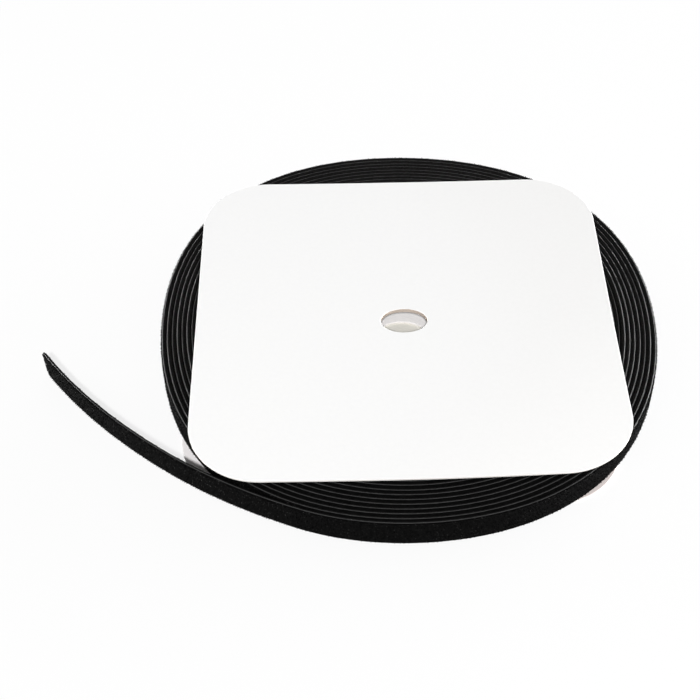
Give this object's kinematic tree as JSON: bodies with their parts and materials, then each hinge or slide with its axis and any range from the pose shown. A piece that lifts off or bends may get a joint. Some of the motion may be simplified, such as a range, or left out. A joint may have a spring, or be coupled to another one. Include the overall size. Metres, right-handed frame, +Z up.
{
  "type": "hook and loop tape roll",
  "caption": "Flat roll of narrow double-sided hook and loop tape, wound on edge on a paper core between two square cards with round corners and oval holes, its free end peeled off.",
  "frame": {"origin": "on the roll's axis, at the underside of the bottom card", "axes": "+Z up along the roll's axis, -Y towards the front, where the free end leaves the roll to the left"},
  "size_m": [0.2213, 0.1872, 0.0122],
  "materials": {
    "white_card": "matt white, uncoated cut edge",
    "core_board": "raw grey-brown board",
    "tab_paper": "matt",
    "hook_nylon": "black, covered with small moulded hooks",
    "loop_nylon": "black looped pile"
  },
  "bodies": {
    "bottom_card": {"bottom_card": "white_card"},
    "roll": {"core_ring": "core_board", "start_tab": "tab_paper", "hook_strip_winding": "hook_nylon", "loop_strip_winding": "loop_nylon"},
    "tail": {"hook_strip_tail": "hook_nylon", "loop_strip_tail": "loop_nylon"},
    "top_card": {"top_card": "white_card"}
  },
  "joints": [
    {"name": "roll_turn", "type": "hinge", "parent": "bottom_card", "child": "roll", "pos_m": [0, 0, 0.0061], "axis": [0, 0, 1], "continuous": true},
    {"name": "tail_swing", "type": "hinge", "parent": "roll", "child": "tail", "pos_m": [-0.03771, -0.08882, 0.0061], "axis": [0, 0, 1], "range_deg": [0, 75]},
    {"name": "top_card_turn", "type": "hinge", "parent": "roll", "child": "top_card", "pos_m": [0, 0, 0.0118], "axis": [0, 0, 1], "continuous": true}
  ]
}
